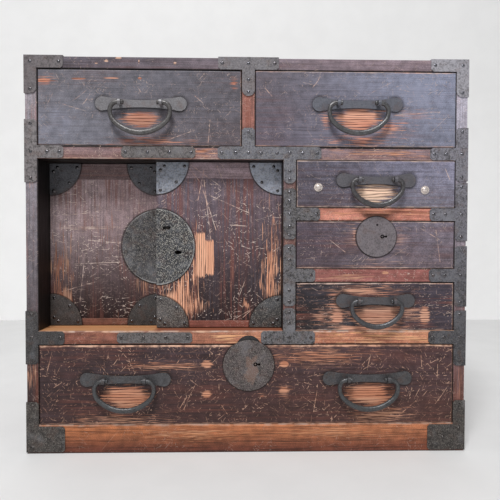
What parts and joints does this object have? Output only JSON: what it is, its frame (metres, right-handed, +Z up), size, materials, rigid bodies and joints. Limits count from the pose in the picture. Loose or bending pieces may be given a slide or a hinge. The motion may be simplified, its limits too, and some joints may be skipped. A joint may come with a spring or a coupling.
{
  "type": "small tansu chest",
  "caption": "Low wooden chest bound with iron, with drawers above, beside and below sliding doors, with hanging bail pulls and round lock plates.",
  "frame": {"origin": "on the floor, under the middle of the case", "axes": "+X to the viewer's right along the front, +Y from the front to the back, +Z up"},
  "size_m": [0.4866, 0.3152, 0.4348],
  "materials": {
    "case_wood": "old dark lacquer, worn to the wood on its edges",
    "plain_wood": "bare softwood, darkened with age",
    "drawer_wood": "old dark lacquer, worn to the wood behind the bails",
    "drawer_box_wood": "bare planed softwood",
    "door_wood": "old dark lacquer, scratched",
    "door_end_wood": "old dark lacquer, scratched",
    "iron": "forged, dark patina",
    "nail_iron": "forged, rubbed bright on top",
    "door_iron": "forged, mottled patina",
    "lock_iron": "forged, mottled patina",
    "pull_iron": "forged, dark patina, rubbed bright on edges",
    "stud_metal": "worn and tarnished"
  },
  "bodies": {
    "case": {"side_left": "case_wood", "side_right": "case_wood", "top_board": "case_wood", "bottom_board": "plain_wood", "back_boards": "plain_wood", "base_rail": "case_wood", "drawer_runners": "plain_wood", "shelf_upper": "case_wood", "shelf_lower": "case_wood", "divider_top": "case_wood", "divider_middle": "case_wood", "small_shelf_upper": "case_wood", "small_shelf_lower": "case_wood", "strike_plates": "lock_iron", "corner_irons_top": "iron", "corner_irons_bottom": "iron", "tee_irons_left": "iron", "tee_irons_right": "iron", "strap_top_centre": "iron", "strap_junction": "iron", "divider_straps": "iron", "rail_straps": "iron", "frame_nails": "nail_iron"},
    "door_front": {"front_door_board": "door_wood", "front_door_ends": "door_end_wood", "front_door_irons": "door_iron", "front_door_lock": "lock_iron"},
    "door_rear": {"rear_door_board": "door_wood", "rear_door_ends": "door_end_wood", "rear_door_irons": "door_iron", "rear_door_half_plate": "door_iron"},
    "door_bolt": {"front_door_bolt": "lock_iron"},
    "drawer_top_left": {"drawer_top_left_front": "drawer_wood", "drawer_top_left_box": "drawer_box_wood", "pull_plates_top_left": "pull_iron"},
    "drawer_top_right": {"drawer_top_right_front": "drawer_wood", "drawer_top_right_box": "drawer_box_wood", "pull_plates_top_right": "pull_iron"},
    "drawer_small_upper": {"drawer_small_upper_front": "drawer_wood", "drawer_small_upper_box": "drawer_box_wood", "pull_plates_small_upper": "pull_iron", "small_upper_studs": "stud_metal"},
    "drawer_small_middle": {"drawer_small_middle_front": "drawer_wood", "drawer_small_middle_box": "drawer_box_wood", "small_drawer_lock": "lock_iron"},
    "drawer_small_lower": {"drawer_small_lower_front": "drawer_wood", "drawer_small_lower_box": "drawer_box_wood", "pull_plates_small_lower": "pull_iron"},
    "drawer_wide": {"drawer_wide_front": "drawer_wood", "drawer_wide_box": "drawer_box_wood", "pull_plates_wide": "pull_iron", "wide_drawer_lock": "lock_iron"},
    "bolt_small": {"small_drawer_bolt": "lock_iron"},
    "bolt_wide": {"wide_drawer_bolt": "lock_iron"},
    "bail_top_left_body": {"bail_top_left": "pull_iron"},
    "bail_top_right_body": {"bail_top_right": "pull_iron"},
    "bail_small_upper_body": {"bail_small_upper": "pull_iron"},
    "bail_small_lower_body": {"bail_small_lower": "pull_iron"},
    "bail_wide_left_body": {"bail_wide_left": "pull_iron"},
    "bail_wide_right_body": {"bail_wide_right": "pull_iron"}
  },
  "joints": [
    {"name": "front_door_slide", "type": "slide", "parent": "case", "child": "door_front", "axis": [-1, 0, 0], "range_m": [0, 0.125]},
    {"name": "rear_door_slide", "type": "slide", "parent": "case", "child": "door_rear", "axis": [1, 0, 0], "range_m": [0, 0.125]},
    {"name": "front_door_bolt_slide", "type": "slide", "parent": "door_front", "child": "door_bolt", "axis": [0, 1, 0], "range_m": [0, 0.0065]},
    {"name": "drawer_top_left_slide", "type": "slide", "parent": "case", "child": "drawer_top_left", "axis": [0, -1, 0], "range_m": [0, 0.225]},
    {"name": "drawer_top_right_slide", "type": "slide", "parent": "case", "child": "drawer_top_right", "axis": [0, -1, 0], "range_m": [0, 0.225]},
    {"name": "drawer_small_upper_slide", "type": "slide", "parent": "case", "child": "drawer_small_upper", "axis": [0, -1, 0], "range_m": [0, 0.225]},
    {"name": "drawer_small_middle_slide", "type": "slide", "parent": "case", "child": "drawer_small_middle", "axis": [0, -1, 0], "range_m": [0, 0.225]},
    {"name": "drawer_small_lower_slide", "type": "slide", "parent": "case", "child": "drawer_small_lower", "axis": [0, -1, 0], "range_m": [0, 0.225]},
    {"name": "drawer_wide_slide", "type": "slide", "parent": "case", "child": "drawer_wide", "axis": [0, -1, 0], "range_m": [0, 0.225]},
    {"name": "bolt_small_slide", "type": "slide", "parent": "drawer_small_middle", "child": "bolt_small", "axis": [0, 0, 1], "range_m": [0, 0.006]},
    {"name": "bolt_wide_slide", "type": "slide", "parent": "drawer_wide", "child": "bolt_wide", "axis": [0, 0, 1], "range_m": [0, 0.006]},
    {"name": "bail_top_left_swing", "type": "hinge", "parent": "drawer_top_left", "child": "bail_top_left_body", "pos_m": [-0.1166, -0.159, 0.3826], "axis": [-1, 0, 0], "range_deg": [-6, 165]},
    {"name": "bail_top_right_swing", "type": "hinge", "parent": "drawer_top_right", "child": "bail_top_right_body", "pos_m": [0.1193, -0.1602, 0.3834], "axis": [-1, 0, 0], "range_deg": [-6, 165]},
    {"name": "bail_small_upper_swing", "type": "hinge", "parent": "drawer_small_upper", "child": "bail_small_upper_body", "pos_m": [0.1404, -0.1602, 0.301], "axis": [-1, 0, 0], "range_deg": [-6, 165]},
    {"name": "bail_small_lower_swing", "type": "hinge", "parent": "drawer_small_lower", "child": "bail_small_lower_body", "pos_m": [0.1409, -0.1593, 0.1682], "axis": [-1, 0, 0], "range_deg": [-6, 165]},
    {"name": "bail_wide_left_swing", "type": "hinge", "parent": "drawer_wide", "child": "bail_wide_left_body", "pos_m": [-0.1343, -0.1595, 0.0816], "axis": [-1, 0, 0], "range_deg": [-6, 165]},
    {"name": "bail_wide_right_swing", "type": "hinge", "parent": "drawer_wide", "child": "bail_wide_right_body", "pos_m": [0.1325, -0.1595, 0.0822], "axis": [-1, 0, 0], "range_deg": [-6, 165]}
  ]
}
